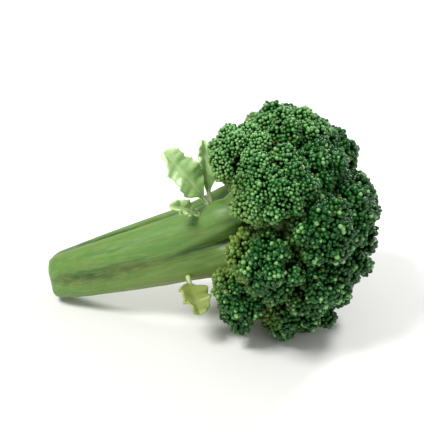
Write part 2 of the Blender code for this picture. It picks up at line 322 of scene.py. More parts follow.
def node_surface(name: str) -> BVHTree:
    """Reads a CAD node's surface.

    Args:
        name: the node.

    Returns:
        The surface, for rays and nearest points.
    """
    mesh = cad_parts[name].data
    corners = [vertex.co.copy() for vertex in mesh.vertices]
    return BVHTree.FromPolygons(corners, [tuple(face.vertices) for face in mesh.polygons])


def unit(vector: np.ndarray) -> np.ndarray:
    """A vector, or each row of many, at length 1."""
    return vector / np.maximum(np.linalg.norm(vector, axis=-1, keepdims=True), 1e-12)


def frames_along(axes: np.ndarray, spins: np.ndarray) -> np.ndarray:
    """Turns that stand a shape's own +Z on each axis.

    Args:
        axes: unit vectors, one row each.
        spins: how far each shape is turned about its own axis.

    Returns:
        One 3 by 3 matrix for each axis, with the shape's own axes as its columns.
    """
    helper = np.where(np.abs(axes[:, 2:3]) < 0.9, (0.0, 0.0, 1.0), (1.0, 0.0, 0.0))
    side = unit(np.cross(helper, axes))
    other = np.cross(axes, side)
    cos, sin = np.cos(spins)[:, None], np.sin(spins)[:, None]
    return np.stack([cos * side + sin * other, cos * other - sin * side, axes], axis=2)


def even_directions(count: int) -> np.ndarray:
    """Spreads directions evenly over a ball.

    Args:
        count: how many there are.

    Returns:
        The directions, one row each.
    """
    index = np.arange(count)
    level = 1.0 - (2 * index + 1) / count
    ring = np.sqrt(1.0 - level * level)
    turn = index * GOLDEN_ANGLE
    return np.stack([ring * np.cos(turn), ring * np.sin(turn), level], axis=1)


# ---- Shapes that are repeated -----------------------------------------------------------------


@dataclass
class Shape:
    """A small mesh as arrays: its points, and its faces grouped by their number of corners."""

    points: np.ndarray
    faces: list[np.ndarray]

    @classmethod
    def taken_from(cls, obj: bpy.types.Object) -> "Shape":
        """Reads an object's mesh and removes the object.

        Args:
            obj: the object.

        Returns:
            Its shape.
        """
        mesh = obj.data
        points = np.array([tuple(vertex.co) for vertex in mesh.vertices])
        groups: dict[int, list] = {}
        for face in mesh.polygons:
            groups.setdefault(len(face.vertices), []).append(tuple(face.vertices))
        bpy.data.objects.remove(obj)
        return cls(points, [np.array(group) for group in groups.values()])


@dataclass
class Batch:
    """Many shapes in one mesh, each point with its tone and each face with its material."""

    points: list[np.ndarray] = field(default_factory=list)
    tones: list[np.ndarray] = field(default_factory=list)
    faces: list = field(default_factory=list)
    slots: list[int] = field(default_factory=list)
    count: int = 0

    def add(
        self, points: np.ndarray, faces: list[np.ndarray], slot: int, tones: np.ndarray
    ) -> None:
        """Adds one shape.

        Args:
            points: its points, already in place.
            faces: its faces, numbered from its own first point.
            slot: which of the piece's materials it has.
            tones: four values for each point.
        """
        for group in faces:
            self.faces += (group + self.count).tolist()
            self.slots += [slot] * len(group)
        self.points.append(points)
        self.tones.append(tones)
        self.count += len(points)

    def build(self, name: str, materials: list[bpy.types.Material]) -> bpy.types.Object:
        """Makes the object.

        Args:
            name: the piece's name.
            materials: its materials, in the order of the slots.

        Returns:
            The object, linked to the scene and shaded smooth.
        """
        mesh = bpy.data.meshes.new(name)
        mesh.from_pydata(np.concatenate(self.points).tolist(), [], self.faces)
        for material in materials:
            mesh.materials.append(material)
        mesh.polygons.foreach_set("material_index", self.slots)
        mesh.polygons.foreach_set("use_smooth", [True] * len(self.faces))
        attribute = mesh.color_attributes.new(TONE, "FLOAT_COLOR", "POINT")
        attribute.data.foreach_set("color", np.concatenate(self.tones).ravel())
        obj = bpy.data.objects.new(name, mesh)
        bpy.context.scene.collection.objects.link(obj)
        return obj


@dataclass
class BudModel:
    """One closed flower bud: four sepals that meet over the tip. It is one unit in radius."""

    sides: int = 8
    rings: int = 6
    height: float = 1.42
    seam: float = 0.82  # how far in the seams between the sepals lie
    foot: float = 0.62
    tip: float = 0.84

    def build(self) -> Shape:
        """Models the bud.

        Returns:
            The bud on +Z, with its middle at the origin.
        """
        bpy.ops.object.select_all(action="DESELECT")
        bpy.ops.mesh.primitive_uv_sphere_add(segments=self.sides, ring_count=self.rings)
        obj = bpy.context.object
        bpy.ops.object.mode_set(mode="EDIT")
        self.squeeze(obj, lambda co: co.z < -0.3, (self.foot, self.foot, 1.0))
        self.squeeze(obj, lambda co: co.z > 0.7, (self.tip, self.tip, 1.0))
        self.squeeze(obj, lambda co: True, (1.0, 1.0, self.height))
        self.squeeze(obj, lambda co: co.z > 0.1 and self.on_seam(co), (self.seam, self.seam, 0.97))
        self.squeeze(obj, lambda co: co.z > 0.99 * self.height, (1.0, 1.0, 0.9))
        bpy.ops.object.mode_set(mode="OBJECT")
        return Shape.taken_from(obj)

    def on_seam(self, co: Vector) -> bool:
        """Whether a point lies on one of the four seams."""
        step = math.atan2(co.y, co.x) / (math.tau / self.sides)
        return round(step) % 2 == 0 and math.hypot(co.x, co.y) > 0.05

    def squeeze(
        self, obj: bpy.types.Object, wanted: object, amount: tuple[float, float, float]
    ) -> None:
        """Scales some of the bud's points about its middle.

        Args:
            obj: the bud, in edit mode.
            wanted: tells from a point's place whether it takes part.
            amount: the scale along each axis.
        """
        shape = bmesh.from_edit_mesh(obj.data)
        for vertex in shape.verts:
            vertex.select_set(bool(wanted(vertex.co)))
        shape.select_flush_mode()
        bmesh.update_edit_mesh(obj.data)
        bpy.ops.transform.resize(value=amount, center_override=(0.0, 0.0, 0.0))


@dataclass
class StemModel:
    """A fine stem from 0 to 1 on +Z, one unit in radius, to be led along a line."""

    sides: int = 6
    steps: int = 5

    def build(self) -> Shape:
        """Models the stem.

        Returns:
            The stem, in steps that can bend.
        """
        bpy.ops.object.select_all(action="DESELECT")
        bpy.ops.mesh.primitive_cylinder_add(
            vertices=self.sides, radius=1.0, depth=1.0, location=(0.0, 0.0, 0.5)
        )
        obj = bpy.context.object
        bpy.ops.object.transform_apply(location=True)
        bpy.ops.object.mode_set(mode="EDIT")
        for step in range(1, self.steps):
            bpy.ops.mesh.select_all(action="SELECT")
            bpy.ops.mesh.bisect(plane_co=(0.0, 0.0, step / self.steps), plane_no=(0.0, 0.0, 1.0))
        bpy.ops.object.mode_set(mode="OBJECT")
        return Shape.taken_from(obj)


def led_along(
    stem: Shape, line: tuple[np.ndarray, np.ndarray, np.ndarray], radii: tuple[float, float]
) -> np.ndarray:
    """Leads a stem along a curve.

    Args:
        stem: the stem's shape.
        line: the curve's start, its control point and its end.
        radii: the stem's radius at its start and at its end.

    Returns:
        The stem's points in place.
    """
    start, control, end = line
    share = stem.points[:, 2:3]
    middle = (1 - share) ** 2 * start + 2 * share * (1 - share) * control + share**2 * end
    along = unit(2 * (1 - share) * (control - start) + 2 * share * (end - control))
    turns = frames_along(along, np.zeros(len(along)))
    across = stem.points[:, 0:1] * turns[:, :, 0] + stem.points[:, 1:2] * turns[:, :, 1]
    return middle + across * (radii[0] + (radii[1] - radii[0]) * share)


# ---- Finishes ---------------------------------------------------------------------------------


@dataclass(frozen=True)
class BudSkin:
    """Broccoli flower bud, steamed: a waxy dark green skin that is wet, with tips painted paler as
    a painted highlight.

    The wax gives each bud a small sharp glint. Tone holds the bud's own shade, the height on the
    bud, which makes it paler towards the tip as a painted highlight, its warmth, and how far out
    of the painted shade at the base of each bud, between the buds, it is.
    """

    # deep is the darkest green, and also the painted shade at each bud's base between the buds
    deep: str = "031402"
    dark: str = "062908"
    green: str = "155416"
    # pale is reached at the tips of the palest buds: mostly painted highlight and painted glints,
    # partly the paler colour of young buds and of the fringe
    pale: str = "7cb068"
    warm: str = "6a7a2a"
    mottle_mm: float = 0.45
    mottle_share: float = 0.3
    contrast: float = 0.62
    roughness: float = 0.3
    wax: float = 0.3

    def build(self) -> bpy.types.Material:
        """Makes the material.

        Returns:
            The material.
        """
        material, tree, shader = new_material("steamed broccoli bud, waxy")
        place = add_node(tree, "ShaderNodeTexCoord").outputs["Object"]
        shade, height, warmth, above_painted_shade = read_tone(tree)
        mottle = add_noise(tree, place, self.mottle_mm, Detail=3.0)
        # the height on the bud makes it paler towards its tip: painted highlight
        light = add_sum(tree, mottle, self.mottle_share, add_sum(tree, shade, 0.5, height))
        settings = {"operation": "MULTIPLY", 1: self.contrast}
        scaled = add_node(tree, "ShaderNodeMath", settings, {0: light}).outputs[0]
        stops = ((0.15, self.deep), (0.5, self.dark), (0.78, self.green), (0.98, self.pale))
        warmed = add_mix(tree, warmth, add_ramp(tree, scaled, stops), self.warm)
        # each bud's base, down between the buds, turns deep green: painted shade
        colour = add_mix(tree, above_painted_shade, self.deep, warmed)
        tree.links.new(colour, shader.inputs["Base Color"])
        add_bump(tree, shader, mottle, 0.35, 0.08 * MM)
        set_surface(
            shader,
            {
                "Roughness": self.roughness,
                "IOR": 1.45,
                "Subsurface Weight": 0.12,
                "Subsurface Radius": (0.4, 0.9, 0.2),
                "Subsurface Scale": 0.6 * MM,
                "Specular IOR Level": 0.18,
                "Coat Weight": self.wax,
                "Coat Roughness": 0.06,
            },
        )
        return material


@dataclass(frozen=True)
class ShadeHeartSkin:
    """The inside of a bud cluster, seen only between the buds: matt, and painted nearly black as
    painted shade.
    """

    colour: str = "0a1c06"

    def build(self) -> bpy.types.Material:
        """Makes the material.

        Returns:
            The material.
        """
        # the heart's nearly black colour is painted shade
        material, _, shader = new_material("broccoli cluster heart, in the dark")
        values = {"Base Color": linear(self.colour), "Roughness": 0.95, "Specular IOR Level": 0.0}
        set_surface(shader, values)
        return material


@dataclass(frozen=True)
class StemSkin:
    """Broccoli stem, steamed: smooth moist flesh with fine threads that run with the growth.

    Tone holds the ridges, which paint shade into the grooves and light onto the crests, the warmth
    of the shaded side, the cut face and the distance from the cut's middle.
    """

    name: str = "steamed broccoli stalk, moist flesh"
    # groove is painted shade in the grooves and hollows; crest is painted light on the crests and
    # raised ribs
    groove: str = "1f4310"
    flesh: str = "416828"
    crest: str = "587f38"
    streak: str = "7f9d52"
    warm: str = "757f3a"
    cut: str = "8fa868"
    cut_ring: str = "658a44"
    thread_mm: float = 0.55
    blotch_mm: float = 2.6
    stretch: float = 0.09  # the threads' width as a share of their length
    roughness: float = 0.46
    growth_rise: float = 0.0  # the angle of the growth above the ground

    def build(self) -> bpy.types.Material:
        """Makes the material.

        Returns:
            The material.
        """
        material, tree, shader = new_material(self.name)
        place = add_node(tree, "ShaderNodeTexCoord").outputs["Object"]
        ridge, shaded, on_cut, from_middle = read_tone(tree)
        turn = {"Rotation": (0.0, self.growth_rise, 0.0)}
        along = add_node(tree, "ShaderNodeMapping", turn, {"Vector": place}).outputs[0]
        stretch = {"Scale": (self.stretch, 1.0, 1.0)}
        stretched = add_node(tree, "ShaderNodeMapping", stretch, {"Vector": along}).outputs[0]
        threads = add_noise(tree, stretched, self.thread_mm, Detail=4.0, Roughness=0.6)
        blotches = add_noise(tree, stretched, self.blotch_mm, Detail=3.0)
        # the ridge tone runs from painted shade in the grooves to painted light on the crests
        stops = ((0.05, self.groove), (0.5, self.flesh), (0.95, self.crest))
        streaks = add_range(tree, threads, 0.42, 0.75, 0.5)
        streaked = add_mix(tree, streaks, add_ramp(tree, ridge, stops), self.streak)
        patches = add_range(tree, blotches, 0.48, 0.75, 0.5)
        warmth = add_sum(tree, shaded, 0.45, patches, clamped=True)
        warmed = add_mix(tree, warmth, streaked, self.warm)
        rings = ((0.0, self.cut), (0.55, self.cut), (0.72, self.cut_ring), (0.85, self.cut))
        colour = add_mix(tree, on_cut, warmed, add_ramp(tree, from_middle, rings))
        tree.links.new(colour, shader.inputs["Base Color"])
        add_bump(tree, shader, threads, 0.3, 0.12 * MM)
        set_surface(
            shader,
            {
                "Roughness": self.roughness,
                "IOR": 1.42,
                "Subsurface Weight": 0.2,
                "Subsurface Radius": (0.8, 1.2, 0.4),
                "Subsurface Scale": 1.2 * MM,
                "Coat Weight": 0.06,
                "Coat Roughness": 0.35,
            },
        )
        return material


@dataclass(frozen=True)
class LeafSkin:
    """Broccoli leaflet, steamed: a thin soft blade, pale at its edge and tip, with lighter veins.

    Tone holds the veins, the way to the tip, and the leaflet's own warmth.
    """

    blade: str = "7fa85a"
    vein: str = "cadcaa"
    tip: str = "bbd59b"
    warm: str = "8a8d3c"
    grain_mm: float = 0.7
    roughness: float = 0.38

    def build(self) -> bpy.types.Material:
        """Makes the material.

        Returns:
            The material.
        """
        material, tree, shader = new_material("steamed broccoli leaf, thin blade")
        place = add_node(tree, "ShaderNodeTexCoord").outputs["Object"]
        vein, to_tip, warmth, _ = read_tone(tree)
        grain = add_noise(tree, place, self.grain_mm, Detail=4.0)
        blade = add_mix(tree, to_tip, self.blade, self.tip)
        warmed = add_mix(tree, warmth, add_mix(tree, vein, blade, self.vein), self.warm)
        tree.links.new(warmed, shader.inputs["Base Color"])
        add_bump(tree, shader, grain, 0.4, 0.1 * MM)
        set_surface(
            shader,
            {
                "Roughness": self.roughness,
                "Subsurface Weight": 0.35,
                "Subsurface Radius": (0.8, 1.2, 0.4),
                "Subsurface Scale": 0.8 * MM,
                "Coat Weight": 0.2,
                "Coat Roughness": 0.2,
            },
        )
        return material


# ---- The floret's own layout ------------------------------------------------------------------


@dataclass
class Growth:
    """Where the floret grows from and to, read from its solids."""

    NECK_FROM_CUT = 21 * MM
    NECK_HALF = 5 * MM  # the neck's middle is taken over twice this much of the stalk
    CUT_DEPTH = 3.2 * MM
    crown: np.ndarray
    neck: np.ndarray
    cut: np.ndarray

    @classmethod
    def read(cls, clusters: list[str]) -> "Growth":
        """Finds the crown's middle, the stalk's neck and the middle of its cut end.

        Args:
            clusters: the names of the crown's nodes.

        Returns:
            The floret's layout.
        """
        boxes = [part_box(name) for name in clusters]
        centres = np.array([(np.array(low) + np.array(high)) / 2 for low, high in boxes])
        stalk = node_points("stalk")
        along = stalk[:, 0] - stalk[:, 0].min()
        near_neck = np.abs(along - cls.NECK_FROM_CUT) < cls.NECK_HALF
        at_cut = along < cls.CUT_DEPTH
        return cls(centres.mean(axis=0), stalk[near_neck].mean(axis=0), stalk[at_cut].mean(axis=0))

    @property
    def axis(self) -> np.ndarray:
        """The direction in which the floret grows."""
        return unit(self.crown - self.neck)


# ---- Stalk ------------------------------------------------------------------------------------


@dataclass
class Stalk:
    """The stalk with its limbs and branches: soft where they meet, and ridged lengthwise."""

    growth: Growth
    finish: StemSkin
    grain: float = 0.42 * MM  # the size of the sculpted mesh's faces
    rib_width: float = 2.6 * MM
    rib_depth: float = 0.3 * MM
    thread_width: float = 0.9 * MM
    thread_depth: float = 0.08 * MM
    pale_foot: float = 14.0 * MM  # warmth grows along this much of the stalk
    shoulder: float = 3.4 * MM  # the length over which the cut end rounds off
    shoulder_depth: float = 0.26  # how far it draws in, as a share of the stalk's radius
    cut_depth: float = 2.6 * MM  # how far from the end a face can still be the cut's
    cut_radius: float = 4.6 * MM
    bands: int = 25  # the steps in which the stalk's middle line is followed
    softening: int = 16
    reach_rounds: int = 12  # how wide round a point its hollow is measured

    def build(self) -> bpy.types.Object:
        """Models the stalk.

        Returns:
            The finished object.
        """
        obj = bpy.data.objects.new("stalk_flesh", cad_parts["stalk"].data.copy())
        obj.data.name = obj.name
        bpy.context.scene.collection.objects.link(obj)
        obj.data.materials.clear()
        select_only(obj)
        bpy.ops.object.mode_set(mode="EDIT")
        bpy.ops.mesh.select_all(action="SELECT")
        bpy.ops.mesh.remove_doubles(threshold=0.00001)
        bpy.ops.object.mode_set(mode="OBJECT")
        apply_modifier(obj, "REMESH", mode="VOXEL", voxel_size=self.grain, adaptivity=0.0)
        apply_modifier(obj, "SMOOTH", factor=0.5, iterations=self.softening)
        self.sculpt(obj)
        obj.data.materials.append(self.finish.build())
        obj.data.shade_smooth()
        return obj

    def sculpt(self, obj: bpy.types.Object) -> None:
        """Raises the ribs and threads, rounds off the cut end, and writes the tones, with painted
        shade in the hollows and painted light on the crests.

        Args:
            obj: the stalk, softened.
        """
        mesh = obj.data
        count = len(mesh.vertices)
        points, normals = np.empty(count * 3), np.empty(count * 3)
        mesh.vertices.foreach_get("co", points)
        mesh.vertices.foreach_get("normal", normals)
        points, normals = points.reshape(-1, 3), normals.reshape(-1, 3)
        axis = self.growth.axis
        along = (points - self.growth.cut) @ axis
        edges = np.linspace(along.min(), along.max() + 1e-6, self.bands + 1)
        band = np.digitize(along, edges) - 1
        middles = np.array([points[band == index].mean(axis=0) for index in range(self.bands)])
        places = (edges[:-1] + edges[1:]) / 2
        line = np.stack([np.interp(along, places, values) for values in middles.T], axis=1)
        across = points - line
        across -= np.outer(across @ axis, axis)
        grown = across + np.outer(along * 0.1, axis)
        ribs = self.noise_at(grown / self.rib_width, 0.0)
        threads = self.noise_at(grown / self.thread_width, 7.0)
        cut_facing = np.clip((-(normals @ axis) - 0.55) / 0.25, 0.0, 1.0)
        cut_near = np.clip(1.0 - (along - along.min()) / self.cut_depth, 0.0, 1.0)
        cut = np.where(cut_near > 0.02, cut_facing, 0.0)
        lift = (ribs * self.rib_depth + threads * self.thread_depth) * (1.0 - cut)
        edge = np.clip(1.0 - (along - along.min()) / self.shoulder, 0.0, 1.0) ** 2
        edge *= 1.0 - 0.9 * np.clip(-unit(across)[:, 2], 0.0, 1.0)
        moved = points + normals * lift[:, None] - across * (edge * self.shoulder_depth)[:, None]
        mesh.vertices.foreach_set("co", moved.ravel())
        mesh.update()
        hollow = self.hollows(mesh, moved, normals)
        radial = np.linalg.norm(across, axis=1) / self.cut_radius
        # darker in the hollows and grooves and paler on the crests and raised ribs: painted shade
        # and painted light
        crest = np.clip(0.54 + hollow * 0.42 + ribs * 0.45 + threads * 0.16, 0.0, 1.0)
        underside = np.clip(0.35 - unit(across)[:, 2], 0.0, 1.0)
        warmth = underside * np.clip(along / self.pale_foot, 0.0, 1.0)
        tones = np.stack([crest, warmth, cut, np.clip(radial, 0.0, 1.0)], axis=1)
        attribute = mesh.color_attributes.new(TONE, "FLOAT_COLOR", "POINT")
        attribute.data.foreach_set("color", tones.ravel())

    @staticmethod
    def noise_at(places: np.ndarray, shift: float) -> np.ndarray:
        """Smooth noise from -1 to 1 at each place."""
        return np.array([noise.noise((x + shift, y, z)) for x, y, z in places])

    def hollows(
        self, mesh: bpy.types.Mesh, points: np.ndarray, normals: np.ndarray
    ) -> np.ndarray:
        """How far each point stands out from the points round it, in tenths of a millimetre.

        Args:
            mesh: the mesh.
            points: its points.
            normals: their normals.

        Returns:
            A value for each point, below zero in a groove.
        """
        edges = np.empty(len(mesh.edges) * 2, dtype=np.int64)
        mesh.edges.foreach_get("vertices", edges)
        first, second = edges.reshape(-1, 2).T
        around = points.copy()
        for _ in range(self.reach_rounds):
            total = np.zeros_like(around)
            number = np.zeros(len(around))
            np.add.at(total, first, around[second])
            np.add.at(total, second, around[first])
            np.add.at(number, first, 1)
            np.add.at(number, second, 1)
            around = total / np.maximum(number, 1)[:, None]
        return ((points - around) * normals).sum(axis=1) / (0.1 * MM)


# ---- Clusters of buds -------------------------------------------------------------------------


@dataclass(frozen=True)
class CrownGaps:
    """The gaps left deep in the crown, where the rounded corners of three clusters meet."""

    clusters: list[str]
    growth: Growth
    reach: float = 11.5 * MM  # how far from the crown's middle gaps are looked for
    step: float = 1.1 * MM
    least: float = 0.4 * MM  # a gap's half width
    most: float = 2.4 * MM
    spacing: float = 1.9 * MM
    overlap: float = 0.5 * MM  # how far a knob reaches into the clusters beside it

    def knobs(self) -> dict[str, list[tuple[np.ndarray, float]]]:
        """Finds the knobs that close the gaps.

        Returns:
            For each cluster, the centres and radii of its knobs.
        """
        corners, faces, owners = [], [], []
        for name in self.clusters:
            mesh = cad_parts[name].data
            first = len(corners)
            corners += [vertex.co.copy() for vertex in mesh.vertices]
            faces += [tuple(index + first for index in face.vertices) for face in mesh.polygons]
            owners += [name] * len(mesh.polygons)
        surface = BVHTree.FromPolygons(corners, faces)
        found = []
        for offset in self.grid():
            place = self.growth.crown + offset
            near, normal, face, gap = surface.find_nearest(Vector(place))
            if self.least < gap < self.most and (Vector(place) - near).dot(normal) > 0:
                found.append((gap, place, owners[face]))
        chosen: dict[str, list[tuple[np.ndarray, float]]] = {name: [] for name in self.clusters}
        taken: list[np.ndarray] = []
        for gap, place, owner in sorted(found, key=lambda item: -item[0]):
            if all(np.linalg.norm(place - other) > self.spacing for other in taken):
                taken.append(place)
                chosen[owner].append((place, gap + self.overlap))
        return chosen

    def grid(self) -> np.ndarray:
        """Lays places in a ball round the crown's middle, on the side that it grows to.

        Returns:
            The places, each as an offset from the middle.
        """
        line = np.arange(-self.reach, self.reach, self.step)
        offsets = np.stack(np.meshgrid(line, line, line), axis=-1).reshape(-1, 3)
        inside = np.linalg.norm(offsets, axis=1) < self.reach
        return offsets[inside & (offsets @ self.growth.axis > 0)]


@dataclass
class BudCluster:
    """One cluster of the crown: knobs of buds on fine stems that spread from the branch."""

    name: str
    growth: Growth
    bud: Shape
    stem: Shape
    materials: list[bpy.types.Material]
    gaps: list[tuple[np.ndarray, float]]
    seed: int
    usual_size: float = 6.6 * MM
    knob_count: int = 40  # on a cluster of the usual size
    least_knobs: int = 9
    knob_radius: float = 2.5 * MM
    corner_count: int = 12  # the most small knobs that fill corners
    corner_reach: float = 1.08  # how far out a corner lies, as a share of the cluster's size
    bud_spacing: float = 0.98 * MM
    bud_radius: float = 0.54 * MM
    bud_spread: float = 0.15
    proud: float = 0.45 * MM  # how far bud tips stand out of the solid
    unevenness: float = 1.1 * MM  # the most that a knob stands lower than its neighbours
    young_share: float = 0.25  # how much finer the buds of the youngest cluster are
    youngest_at: float = 11.0 * MM  # from the crown's middle to the youngest clusters
    fork_above_neck: float = 11.0 * MM  # where the clusters' branches spread from
    heart_inset: float = 1.15 * MM  # from the knobs' surface to the dark heart
    hidden_depth: float = 0.9 * MM  # buds deeper than this under the outermost knob are left out
    bud_lean: float = 0.12
    bud_shade: float = 0.17  # a bud's usual tone, from dark at 0 to pale at 1
    shade_spread: float = 0.15
    # these paler buds are painted glints on wet bud tips
    pale_buds: float = 0.12  # the share of buds that are much paler
    yellow_buds: float = 0.015  # and the share that turn yellow
    rim_angle: float = math.radians(70.0)  # from the cluster's axis to where its rim begins
    rim_span: float = math.radians(46.0)
    core_radii: tuple[float, float] = (2.0 * MM, 1.3 * MM)  # the branch inside the cluster
    stem_radii: tuple[float, float] = (0.85 * MM, 0.6 * MM)  # each fine stem
    fringe_depth: float = 9.0 * MM  # the fringe by the stalk turns paler over this way
    open_angle: float = math.radians(120.0)  # from the growth direction to the bare underside
    draw: np.random.Generator = field(init=False)

    def __post_init__(self) -> None:
        """Reads the cluster's place from its solid."""
        self.draw = np.random.default_rng(self.seed)
        self.surface = node_surface(self.name)
        points = node_points(self.name)
        self.centre = points.mean(axis=0)
        root = self.growth.neck + self.growth.axis * self.fork_above_neck
        self.axis = unit(self.centre - root)
        reach = np.linalg.norm(points - self.centre, axis=1)
        self.size = float(np.percentile(reach, 60))
        self.seat = self.distance_to_surface(-self.axis)
        # the clusters on the upper side, away from the growth, are younger, with finer buds, and
        # are also painted lighter as painted light from above
        young_and_lit_side = unit(np.array([0.0, 0.0, 0.65]) - self.growth.axis * 0.75)
        outward = (self.centre - self.growth.crown) @ young_and_lit_side
        self.youth_and_top_light = float(np.clip(outward / self.youngest_at, 0.0, 1.0)) ** 1.5

    def distance_to_surface(self, direction: np.ndarray) -> float:
        """How far the solid reaches from its centre in one direction."""
        hit = self.surface.ray_cast(Vector(self.centre), Vector(direction))
        return hit[3] if hit[0] is not None else self.size

    def knobs(self) -> tuple[np.ndarray, np.ndarray]:
        """Places the round knobs that the buds stand on.

        Returns:
            Their centres and radii.
        """
        scale = self.size / self.usual_size
        count = max(self.least_knobs, round(self.knob_count * scale**2))
        turned = frames_along(self.axis[None, :], np.array([self.draw.uniform(0, math.tau)]))[0]
        directions = even_directions(count) @ turned.T
        directions = unit(directions + self.draw.normal(0.0, 0.1, directions.shape))
        radii = self.knob_radius * self.draw.uniform(0.85, 1.15, count) * scale**0.5
        reach = np.array([self.distance_to_surface(direction) for direction in directions])
        sunk = self.draw.uniform(0.0, self.unevenness, count)
        depth = np.maximum(reach + self.proud - radii - sunk, 0.6 * MM)
        centres = self.centre + directions * depth[:, None]
        corners, corner_radii = self.corner_knobs()
        gaps = np.array([place for place, _ in self.gaps]).reshape(-1, 3)
        gap_radii = np.array([radius for _, radius in self.gaps])
        places = np.concatenate([centres, corners, gaps])
        return places, np.concatenate([radii, corner_radii, gap_radii])

    def corner_knobs(self) -> tuple[np.ndarray, np.ndarray]:
        """Places small knobs in the solid's corners, where neighbouring clusters meet.

        Returns:
            Their centres and radii.
        """
        away = node_points(self.name) - self.centre
        reach = np.linalg.norm(away, axis=1)
        directions = away / reach[:, None]
        chosen: list[int] = []
        for index in np.argsort(-reach):
            if reach[index] < self.corner_reach * self.size or len(chosen) == self.corner_count:
                break
            near = any(directions[index] @ directions[other] > 0.93 for other in chosen)
            if not near and directions[index] @ self.axis > -0.35:
                chosen.append(int(index))
        radii = self.knob_radius * self.draw.uniform(0.7, 0.9, len(chosen))
        depth = reach[chosen] + self.proud * 0.5 - radii
        return self.centre + directions[chosen] * depth[:, None], radii

    def outer_surface(
        self, directions: np.ndarray, centres: np.ndarray, radii: np.ndarray
    ) -> tuple[np.ndarray, np.ndarray]:
        """Finds where rays from the cluster's centre leave the outermost knob.

        Args:
            directions: the rays' directions, one row each.
            centres: the knobs' centres.
            radii: the knobs' radii.

        Returns:
            The distance along each direction, and the number of the knob that it leaves.
        """
        offset = centres - self.centre
        along = directions @ offset.T
        apart = (offset**2).sum(axis=1)[None, :] - along**2
        reach = np.where(
            apart < radii**2, along + np.sqrt(np.maximum(radii**2 - apart, 0.0)), -1.0
        )
        best = reach.argmax(axis=1)
        return reach[np.arange(len(directions)), best], best

    def build(self) -> bpy.types.Object:
        """Models the cluster.

        Returns:
            The finished object.
        """
        batch = Batch()
        centres, radii = self.knobs()
        self.add_buds(batch, centres, radii)
        self.add_heart(batch, centres, radii)
        self.add_stems(batch, centres, radii)
        return batch.build("buds_of_" + self.name.replace("bud_", ""), self.materials)

    def bud_places(
        self, centres: np.ndarray, radii: np.ndarray, spacing: float
    ) -> tuple[np.ndarray, np.ndarray]:
        """Spreads places for buds evenly over the open side of the knobs.

        Args:
            centres: the knobs' centres.
            radii: the knobs' radii.
            spacing: from one bud to the next.

        Returns:
            The places, and the number of the knob that each is on.
        """
        places, knobs = [], []
        for index, (centre, radius) in enumerate(zip(centres, radii, strict=True)):
            count = round(4 * math.pi * radius**2 / spacing**2 * 1.15)
            turned = frames_along(self.axis[None, :], self.draw.uniform(0, math.tau, 1))[0]
            directions = even_directions(count) @ turned.T
            stray = self.draw.normal(0.0, spacing / radius * 0.16, directions.shape)
            spots = centre + unit(directions + stray) * radius
            gaps = np.linalg.norm(spots[:, None, :] - centres[None, :, :], axis=2) - radii
            gaps[:, index] = 1.0
            places.append(spots[gaps.min(axis=1) > -0.06 * MM])
            knobs.append(np.full(len(places[-1]), index))
        return np.concatenate(places), np.concatenate(knobs)

    def add_buds(self, batch: Batch, centres: np.ndarray, radii: np.ndarray) -> None:
        """Sets the buds on the knobs.

        Args:
            batch: the cluster's mesh so far.
            centres: the knobs' centres.
            radii: the knobs' radii.
        """
        fineness = 1 - self.young_share * self.youth_and_top_light
        surface, knob = self.bud_places(centres, radii, self.bud_spacing * fineness)
        away = surface - self.centre
        directions = unit(away)
        reach, _ = self.outer_surface(directions, centres, radii)
        angle = np.arccos(np.clip(directions @ self.axis, -1.0, 1.0))
        seen = np.linalg.norm(away, axis=1) > reach - self.hidden_depth
        keep = (angle < self.open_angle) & seen
        surface, knob, directions, angle = surface[keep], knob[keep], directions[keep], angle[keep]
        number = len(surface)
        standing = unit(unit(surface - centres[knob]) * 0.8 + directions * 0.45)
        standing = unit(standing + self.draw.normal(0.0, self.bud_lean, standing.shape))
        size = self.bud_radius * fineness
        size = size * (1 + self.draw.normal(0.0, self.bud_spread, number).clip(-0.35, 0.4))
        lift = self.draw.normal(0.0, 0.16 * MM, number).clip(-0.4 * MM, 0.3 * MM)
        middle = surface - standing * (size * 1.1)[:, None] + standing * lift[:, None]
        frames = frames_along(standing, self.draw.uniform(0, math.tau, number))
        shade, warm = self.bud_tones(surface, knob, angle, len(centres))
        # the tone's height paints a highlight towards each bud's tip, and the base of each bud,
        # between the buds, is painted in shade
        height = (self.bud.points[:, 2] / self.bud.points[:, 2].max() + 1) / 2
        above_base_shade = np.clip(height * 1.5 + 0.1, 0.0, 1.0)
        stretch = self.draw.uniform(0.9, 1.2, number)
        for index in range(number):
            scaled = self.bud.points * (size[index] * np.array([1.0, 1.0, stretch[index]]))
            points = middle[index] + scaled @ frames[index].T
            own_shade = np.full(len(points), shade[index])
            own_warmth = np.full(len(points), warm[index])
            tones = np.column_stack([own_shade, height, own_warmth, above_base_shade])
            batch.add(points, self.bud.faces, 0, tones)

    def bud_tones(
        self, surface: np.ndarray, knob: np.ndarray, angle: np.ndarray, knobs: int
    ) -> tuple[np.ndarray, np.ndarray]:
        """Draws each bud's own tone: lighter on young clusters, partly their own paler colour and
        partly painted light from above, lighter in the fringe by the stalk, and with painted
        glints on a share of the buds.

        Args:
            surface: the buds' places.
            knob: the number of the knob that each is on.
            angle: from the cluster's axis to each bud.
            knobs: how many knobs there are.

        Returns:
            The shade and the warmth of each bud.
        """
        number = len(surface)
        knob_shade = self.draw.uniform(-0.12, 0.12, knobs)
        rim = np.clip((angle - self.rim_angle) / self.rim_span, 0.0, 1.0)
        below = (self.growth.crown - surface) @ self.growth.axis / self.fringe_depth
        below = np.clip(below, 0.0, 1.0)
        contrast = 1 - 0.6 * self.youth_and_top_light
        # young clusters are painted lighter: partly their own paler colour, partly painted light
        # from above
        shade = self.bud_shade + 0.6 * self.youth_and_top_light + 0.45 * rim * below + knob_shade[knob]
        shade = shade + self.draw.normal(0.0, self.shade_spread * contrast, number)
